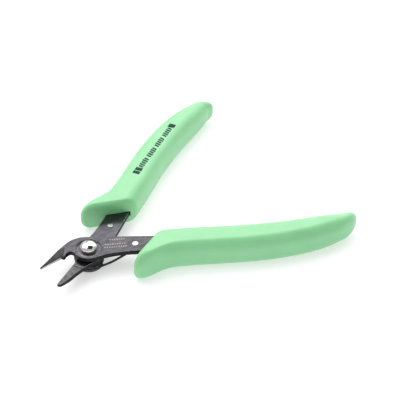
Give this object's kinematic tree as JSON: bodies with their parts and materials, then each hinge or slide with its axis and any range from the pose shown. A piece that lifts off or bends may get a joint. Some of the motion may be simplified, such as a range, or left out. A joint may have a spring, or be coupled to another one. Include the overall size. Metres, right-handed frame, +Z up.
{
  "type": "sprue nippers",
  "caption": "Flat two-plate side cutter with pointed shear jaws, a domed pivot rivet, a torsion return spring and flared moulded grips.",
  "frame": {"origin": "middle of the footprint, on the surface the tool lies on", "axes": "+X from the jaws towards the handle ends, along the tool's length; +Y towards the rear handle; +Z up, along the pivot rivet"},
  "size_m": [0.1265, 0.1104, 0.0132],
  "materials": {
    "black_steel": "black oxide, satin",
    "bright_steel": "bright polished rivet",
    "collar_steel": "black oxide",
    "spring_steel": "oiled dark spring wire",
    "post_steel": "bright turned pin",
    "mint_grip": "soft moulded vinyl, satin"
  },
  "bodies": {
    "front_half": {"upper_blade": "black_steel", "front_grip": "mint_grip", "pivot_rivet": "bright_steel", "rivet_collar": "collar_steel", "spring_post_front": "post_steel", "return_spring": "spring_steel"},
    "rear_half": {"lower_blade": "black_steel", "rear_grip": "mint_grip", "spring_post_rear": "post_steel"}
  },
  "joints": [
    {"name": "handle_pivot", "type": "hinge", "parent": "front_half", "child": "rear_half", "pos_m": [-0.0413, -0.00032, 0.006], "axis": [0, 0, 1], "range_deg": [-28, 0], "stiffness_Nm_per_rad": 0.5, "springref_deg": 22.92, "deforming": ["return_spring"]}
  ]
}
